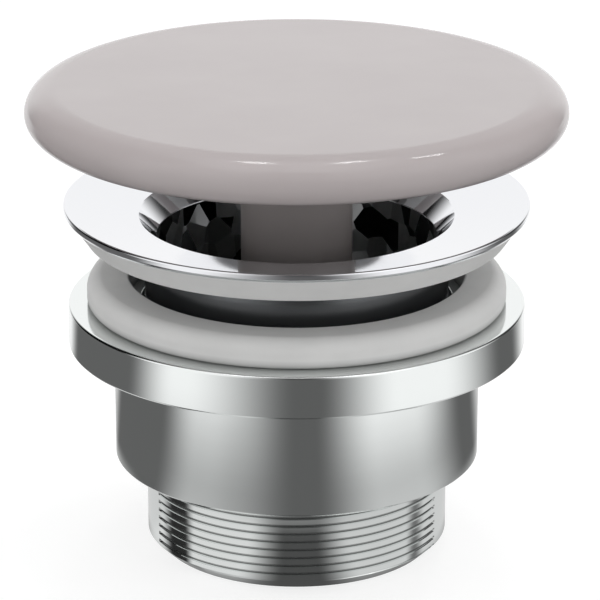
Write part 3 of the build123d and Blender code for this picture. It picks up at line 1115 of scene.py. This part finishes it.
@dataclass
class ReturnSpring:
    """Helical spring that pushes the cap up; the real one shortens as the cap goes down."""

    wire_r: float = 0.35
    turns: int = 8
    press: float = 9.5
    steps: int = 40
    segments: int = 10

    def build(self) -> None:
        """Winds the wire."""
        reach = extent("return_spring")
        length = reach.top - reach.bottom
        rise = (length - 2 * self.wire_r) / (self.turns * self.steps)
        mesh = bmesh.new()
        start = Vector((reach.radius - self.wire_r, 0, reach.bottom + self.wire_r))
        upright = Matrix.Translation(start) @ Matrix.Rotation(math.pi / 2, 4, "X")
        bmesh.ops.create_circle(mesh, segments=self.segments, radius=self.wire_r, matrix=upright)
        bmesh.ops.spin(
            mesh,
            geom=list(mesh.verts) + list(mesh.edges),
            cent=(0, 0, 0),
            axis=(0, 0, 1),
            dvec=(0, 0, rise),
            angle=math.tau * self.turns,
            steps=self.turns * self.steps,
        )
        bmesh.ops.holes_fill(mesh, edges=[edge for edge in mesh.edges if edge.is_boundary])
        piece = finished("return_spring_wound", mesh, STAINLESS)
        mount(piece, Body.FLANGE, "steel", "return_spring")
        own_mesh(piece)


@dataclass
class Mechanism:
    """Inner pieces that keep their CAD form and take a finish."""

    def build(self) -> None:
        """Gives each carried-over node its finish."""
        finishes = {
            "body_o_ring": BLACK_NBR,
            "barrel_wiper": BLACK_NBR,
            "mechanism_barrel": SATIN_CHROME,
            "plunger": TURNED_BRASS,
            "cap_insert": TURNED_BRASS,
            "spring_plug": TURNED_BRASS,
            "barrel_locknut": TURNED_BRASS,
            "cap_locknut": STAINLESS,
            "rotor_washer": STAINLESS,
            "barrel_washer": NYLON,
            "cam_guide": NYLON,
            "rotor": NYLON,
            "cap_plate": GREY_POM,
            "cap_seal": GREY_EPDM,
            "cap_pad": BLACK_FOAM,
        }
        for node, finish in finishes.items():
            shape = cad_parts[node]
            shape.data.materials.clear()
            shape.data.materials.append(finish.material())
            log.info("%s: %s", node, finish.name)


def grey(level: float) -> tuple[float, float, float, float]:
    """Grey of a linear level, with an alpha of 1."""
    return (level, level, level, 1.0)


def seen_directly(tree: Tree) -> Socket:
    """Tells what rays meet a surface of the studio.

    Args:
        tree: Node tree.

    Returns:
        One for rays of the camera, of reflections and of transmission, else zero.
    """
    paths = add(tree, "ShaderNodeLightPath").outputs
    seen = paths["Is Camera Ray"]
    for other in ("Is Glossy Ray", "Is Transmission Ray"):
        seen = add(tree, "ShaderNodeMath", {0: seen, 1: paths[other]}, operation="MAXIMUM").outputs[0]
    return seen


@dataclass(frozen=True)
class Band:
    """A stretch that fades in at its start and out at its end, each over a soft half-width."""

    start: float
    start_soft: float
    end: float = 900.0
    end_soft: float = 1.0

    def share(self, tree: Tree, value: Socket) -> Socket:
        """Compares a value with the band.

        Args:
            tree: Node tree.
            value: What is compared.

        Returns:
            One well within the band, and zero outside.
        """
        edges = ((self.start, self.start_soft, 0.0, 1.0), (self.end, self.end_soft, 1.0, 0.0))
        steps = {}
        for index, (middle, soft, below, above) in enumerate(edges):
            limits = {"From_Min": middle - soft, "From_Max": middle + soft}
            ends = {"Value": value, "To Min": below, "To Max": above}
            step = add(tree, "ShaderNodeMapRange", ends, interpolation_type="SMOOTHSTEP", **limits)
            steps[index] = step.outputs["Result"]
        return add(tree, "ShaderNodeMath", steps, operation="MULTIPLY").outputs[0]


@dataclass(frozen=True)
class Board:
    """A board round the part, out of the picture: only gloss shows it.

    Its azimuths are degrees from the front, positive to the right, about a pivot that is
    given in millimetres to the right and to the front. Its reach is millimetres from the axis.
    """

    around: Band
    level: float
    cover: float = 1.0
    reach: Band | None = None
    pivot: tuple[float, float] = (0.0, 0.0)

    def painted(self, tree: Tree, place: Socket, bright: Socket | float) -> Socket:
        """Paints the board into a brightness.

        Args:
            tree: Node tree.
            place: Object coordinates in metres.
            bright: Brightness without the board.

        Returns:
            The brightness with it.
        """
        right, front = self.pivot
        shift = (-right * MM, front * MM, 0)
        moved = add(tree, "ShaderNodeVectorMath", {0: place, 1: shift}, operation="ADD").outputs[0]
        parts = add(tree, "ShaderNodeSeparateXYZ", {"Vector": moved}).outputs
        ahead = add(tree, "ShaderNodeMath", {0: parts["Y"], 1: -1.0}, operation="MULTIPLY").outputs[0]
        turn = add(tree, "ShaderNodeMath", {0: parts["X"], 1: ahead}, operation="ARCTAN2").outputs[0]
        azimuth = add(tree, "ShaderNodeMath", {0: turn}, operation="DEGREES").outputs[0]
        cover = self.around.share(tree, azimuth)
        if self.reach:
            metres = add(tree, "ShaderNodeVectorMath", {0: place}, operation="LENGTH").outputs["Value"]
            away = add(tree, "ShaderNodeMath", {0: metres, 1: MM}, operation="DIVIDE").outputs[0]
            near = self.reach.share(tree, away)
            cover = add(tree, "ShaderNodeMath", {0: cover, 1: near}, operation="MULTIPLY").outputs[0]
        cover = add(tree, "ShaderNodeMath", {0: cover, 1: self.cover}, operation="MULTIPLY").outputs[0]
        ends = {"Factor": cover, "A": bright, "B": self.level}
        return add(tree, "ShaderNodeMix", ends).outputs[0]


@dataclass(frozen=True)
class Lamp:
    """Rectangular soft lamp that faces the part: place and size in metres, power in watts."""

    name: str
    place: tuple[float, float, float]
    size: tuple[float, float]
    power: float

    def hang(self, aim: Vector) -> None:
        """Hangs the lamp.

        Args:
            aim: Point that it faces, in metres.
        """
        data = bpy.data.lights.new(self.name, "AREA")
        data.shape = "RECTANGLE"
        data.size, data.size_y = self.size
        data.energy = self.power
        lamp = placed(self.name, data)
        lamp.location = self.place
        lamp.rotation_euler = (aim - lamp.location).to_track_quat("-Z", "Y").to_euler()


@dataclass
class Studio:
    """Plain pale floor, soft lamps, dark boards and the camera.

    The camera's distance and aim are millimetres, floor, cards and wall are metres. The
    falloff gives the floor's brightness in gloss at distances from the axis in millimetres;
    its dark near the part is a painted shadow of the part.
    """

    lens_px: float = 3595.0
    frame_px: float = 600.0
    distance: float = 497.9
    elevation: float = 19.57
    aim_z: float = 34.83
    axis_px: float = 296.65
    sensor: float = 36.0
    clip: tuple[float, float] = (0.01, 20.0)
    floor_radius: float = 3.0
    floor_albedo: float = 0.42
    floor_glow: float = 0.72
    floor_segments: int = 96
    horizon: float = 1.62
    zenith: float = 0.4
    horizon_to: float = 0.2
    zenith_from: float = 0.52
    card_radius: float = 0.9
    card_level: float = 0.00005
    wall_height: float = 2.4
    wall_segments: int = 128
    falloff_reach: float = 200.0
    # Painted shadow: the floor as gloss sees it darkens towards the part.
    falloff: tuple[tuple[float, float], ...] = (
        (17.0, 0.0),
        (24.0, 0.66),
        (40.0, 0.64),
        (62.0, 0.55),
        (68.0, 0.6),
        (82.0, 0.81),
        (93.0, 0.94),
        (108.0, 1.0),
    )
    boards: tuple[Board, ...] = (
        # The first board is a painted soft shadow of the part to its left, and the second brightens the
        # floor near the tail on that side; the last two paint narrow shadow strips beside the tail. The
        # rest are dark boards of the studio.
        Board(Band(-95, 12, -25, 12), 0.2, 0.28, Band(50, 6, 98, 22)),
        Board(Band(-88, 8, -20, 8), 1.0, 0.3, Band(20, 2, 48, 5)),
        Board(Band(-25, 25, 27.5, 18), 0.115, reach=Band(46, 6)),
        Board(Band(-17, 11, 20, 10), 0.075, reach=Band(0, 1, 46, 6)),
        Board(Band(88, 21, 133, 12), 0.12, reach=Band(46, 6)),
        Board(Band(-135, 9, -68, 13), 0.125, reach=Band(46, 6)),
        Board(Band(-119, 7, -90, 6), 0.025, 1.0, Band(20, 1, 48, 5), (-10.6, 14.8)),
        Board(Band(98, 6, 111, 6), 0.08, 0.85, Band(20, 1, 48, 5), (10.6, 14.8)),
    )
    standing: tuple[Board, ...] = (
        Board(Band(-22, 20, 24, 18), 0.09),
        Board(Band(-146, 10, -84, 10), 0.006),
        Board(Band(108, 14, 146, 10), 0.04),
    )
    lamps: tuple[Lamp, ...] = (
        Lamp("overhead_softbox", (0, 0.05, 0.9), (0.7, 0.7), 1.9),
        Lamp("right_softbox", (0.55, -0.6, 0.62), (0.7, 0.7), 0.5),
        Lamp("strip_0", (-0.085, 0.27, 0.85), (0.06, 0.1), 0.35),
        Lamp("strip_1", (0.12, 0.27, 0.85), (0.06, 0.1), 0.35),
        Lamp("strip_2", (0.36, 0.27, 0.85), (0.06, 0.1), 0.35),
    )

    def camera(self) -> None:
        """Places the camera at the photograph's angle."""
        data = bpy.data.cameras.new("camera")
        data.sensor_width = self.sensor
        data.lens = self.lens_px / self.frame_px * self.sensor
        data.shift_x = (self.frame_px / 2 - self.axis_px) / self.frame_px
        data.clip_start, data.clip_end = self.clip
        camera = placed("camera", data)
        tilt = math.radians(self.elevation)
        back = Vector((0, -math.cos(tilt), math.sin(tilt))) * self.distance
        camera.location = (back + Vector((0, 0, self.aim_z))) * MM
        camera.rotation_euler = (math.pi / 2 - tilt, 0, 0)
        bpy.context.scene.camera = camera

    def sheet(self, name: str, radius: float, level: float, material: Material) -> Piece:
        """Adds a round flat sheet to the studio.

        Args:
            name: Name of the sheet.
            radius: Its radius in metres.
            level: Its height in metres.
            material: Its material.

        Returns:
            The sheet.
        """
        mesh = bmesh.new()
        bmesh.ops.create_circle(mesh, cap_ends=True, segments=self.floor_segments, radius=radius)
        bmesh.ops.translate(mesh, vec=(0, 0, level), verts=mesh.verts)
        sheet = shown(name, mesh, material)
        return sheet

    def floor(self) -> None:
        """Lays the floor: white to the eye, with the object's soft shadow."""
        made = bare_material("studio_floor")
        tree = made.node_tree
        paint = add(tree, "ShaderNodeBsdfDiffuse", Color=grey(self.floor_albedo))
        seen = {"Strength": seen_directly(tree)}
        glow = add(tree, "ShaderNodeEmission", seen, Color=grey(self.floor_glow))
        both = add(tree, "ShaderNodeAddShader", {0: paint.outputs[0], 1: glow.outputs[0]})
        add(tree, "ShaderNodeOutputMaterial", {"Surface": both.outputs[0]})
        self.sheet("floor", self.floor_radius, 0.0, made)

    def cards(self) -> None:
        """Lays the floor as the chrome shows it: bright, with dark boards, and with a painted shadow of the
        part as a falloff near it and in some boards.
        """
        made = bare_material("floor_cards")
        tree = made.node_tree
        place = add(tree, "ShaderNodeTexCoord").outputs["Object"]
        away = add(tree, "ShaderNodeVectorMath", {0: place}, operation="LENGTH").outputs["Value"]
        reach = {0: away, 1: self.falloff_reach * MM}
        share = add(tree, "ShaderNodeMath", reach, operation="DIVIDE").outputs[0]
        ramp = add(tree, "ShaderNodeValToRGB", {"Fac": share})
        stops = ramp.color_ramp.elements
        while len(stops) < len(self.falloff):
            stops.new(1.0)
        for stop, (radius, light) in zip(stops, self.falloff):
            stop.position = radius / self.falloff_reach
            stop.color = grey(light)
        bright = ramp.outputs["Color"]
        for board in self.boards:
            bright = board.painted(tree, place, bright)
        glow = add(tree, "ShaderNodeEmission", {"Strength": bright})
        add(tree, "ShaderNodeOutputMaterial", {"Surface": glow.outputs[0]})
        self.only_in_gloss(self.sheet("floor_cards", self.card_radius, self.card_level, made))

    def wall(self) -> None:
        """Stands the boards round the part: edges and rims show them as dark lines."""
        made = bare_material("standing_cards")
        tree = made.node_tree
        place = add(tree, "ShaderNodeTexCoord").outputs["Object"]
        bright = 1.0
        for board in self.standing:
            bright = board.painted(tree, place, bright)
        glow = add(tree, "ShaderNodeEmission", {"Strength": bright})
        add(tree, "ShaderNodeOutputMaterial", {"Surface": glow.outputs[0]})
        mesh = bmesh.new()
        bmesh.ops.create_cone(
            mesh,
            cap_ends=False,
            segments=self.wall_segments,
            radius1=self.card_radius,
            radius2=self.card_radius,
            depth=self.wall_height,
        )
        bmesh.ops.translate(mesh, vec=(0, 0, self.wall_height / 2), verts=mesh.verts)
        wall = shown("standing_cards", mesh, made)
        self.only_in_gloss(wall)

    def only_in_gloss(self, sheet: Piece) -> None:
        """Hides a sheet from all but reflections.

        Args:
            sheet: The sheet.
        """
        sheet.visible_camera = False
        sheet.visible_diffuse = False
        sheet.visible_shadow = False
        sheet.visible_transmission = False

    def dome(self) -> None:
        """Lights the sky: even to the eye and in gloss, strongest at the horizon for the rest."""
        world = bpy.data.worlds.new("dome")
        bpy.context.scene.world = world
        world.use_nodes = True
        tree = world.node_tree
        tree.nodes.clear()
        way = add(tree, "ShaderNodeTexCoord").outputs["Generated"]
        height = add(tree, "ShaderNodeSeparateXYZ", {"Vector": way}).outputs["Z"]
        limits = {"From_Min": self.horizon_to, "From_Max": self.zenith_from}
        lights = {"Value": height, "To Min": self.horizon, "To Max": self.zenith}
        soft = add(tree, "ShaderNodeMapRange", lights, interpolation_type="SMOOTHSTEP", **limits)
        ends = {"Factor": seen_directly(tree), "A": soft.outputs["Result"], "B": 1.0}
        strength = add(tree, "ShaderNodeMix", ends).outputs[0]
        sky = add(tree, "ShaderNodeBackground", {"Strength": strength}, Color=grey(1.0))
        add(tree, "ShaderNodeOutputWorld", {"Surface": sky.outputs[0]})

    def build(self) -> None:
        """Sets up floor, boards, dome, lamps, camera and view."""
        self.floor()
        self.cards()
        self.wall()
        self.dome()
        for lamp in self.lamps:
            lamp.hang(Vector((0, 0, self.aim_z * MM)))
        self.camera()
        bpy.context.scene.view_settings.view_transform = "Standard"


def main() -> None:
    """Builds every sub-assembly, then the studio."""
    logging.basicConfig(level=logging.INFO, format="%(name)s: %(message)s")
    turner = Turner()
    LowerBody(turner).build()
    ClampGasket(turner).build()
    Flange(turner).build()
    Cap(turner).build()
    ReturnSpring().build()
    Mechanism().build()
    Studio().build()


if __name__ == "__main__":
    main()
